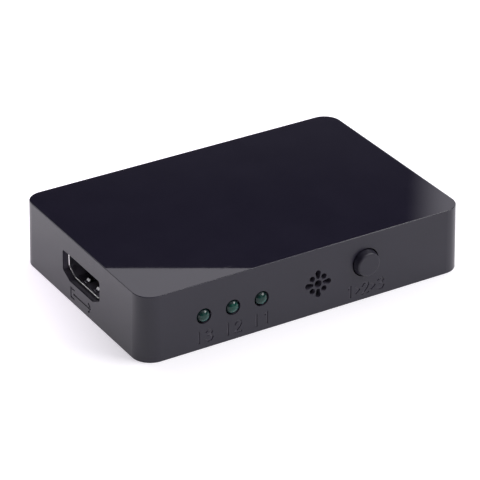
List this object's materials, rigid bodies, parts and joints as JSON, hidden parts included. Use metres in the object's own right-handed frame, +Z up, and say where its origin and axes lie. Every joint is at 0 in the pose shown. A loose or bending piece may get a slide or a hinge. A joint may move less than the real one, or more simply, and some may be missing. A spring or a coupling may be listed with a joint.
{
  "type": "hdmi switch box",
  "caption": "Flat rounded plastic box that switches video inputs at its back to an output socket in its left end, with a push button, lamps and a receiver grille in front.",
  "frame": {"origin": "centre of the flat underside", "axes": "+X along the front face to the right as seen by the user, +Y from the button face to the input sockets, +Z up"},
  "size_m": [0.073, 0.0502, 0.014],
  "materials": {
    "case_plastic": "satin walls, polished top",
    "base_plastic": "fine matt texture",
    "screw_steel": "black zinc",
    "board": "solder mask",
    "port_steel": "bright nickel plating",
    "port_insulator": "moulded",
    "contact_gold": "gold flash",
    "lamp_epoxy": "clear tinted",
    "tinned_lead": "tin plating",
    "receiver_epoxy": "dark filter epoxy",
    "button_plastic": "satin",
    "black_plastic": "moulded",
    "spring_steel": "stamped",
    "chip_body": "moulded epoxy",
    "chip_ceramic": "fired",
    "can_aluminium": "drawn"
  },
  "bodies": {
    "box": {"case_shell": "case_plastic", "base_cover": "base_plastic", "case_screws": "screw_steel", "main_pcb": "board", "output_port_shell": "port_steel", "output_port_insulator": "port_insulator", "output_port_contacts": "contact_gold", "input_1_port_shell": "port_steel", "input_1_port_insulator": "port_insulator", "input_1_port_contacts": "contact_gold", "input_2_port_shell": "port_steel", "input_2_port_insulator": "port_insulator", "input_2_port_contacts": "contact_gold", "input_3_port_shell": "port_steel", "input_3_port_insulator": "port_insulator", "input_3_port_contacts": "contact_gold", "led_1": "lamp_epoxy", "led_2": "lamp_epoxy", "led_3": "lamp_epoxy", "led_leadframes": "tinned_lead", "ir_receiver": "receiver_epoxy", "ir_receiver_leads": "tinned_lead", "tact_housing": "black_plastic", "tact_cover": "spring_steel", "tact_dome": "spring_steel", "tact_terminals": "tinned_lead", "switch_ic": "chip_body", "control_ic": "chip_body", "regulator": "chip_body", "ic_leads": "tinned_lead", "chip_capacitors": "chip_ceramic", "chip_resistors": "chip_body", "bulk_capacitor": "can_aluminium", "bulk_capacitor_base": "black_plastic"},
    "button": {"select_button": "button_plastic"},
    "plunger": {"tact_plunger": "black_plastic"}
  },
  "joints": [
    {"name": "select_press", "type": "slide", "parent": "box", "child": "button", "axis": [0, 1, 0], "range_m": [0, 0.00035], "stiffness_N_per_m": 1500, "springref_m": -0.0003, "deforming": ["tact_dome"]},
    {"name": "plunger_press", "type": "slide", "parent": "box", "child": "plunger", "axis": [0, 1, 0], "range_m": [0, 0.00035], "deforming": ["tact_dome"]}
  ],
  "couplings": [
    {"joint": "plunger_press", "follows": "select_press", "ratio": 1}
  ]
}
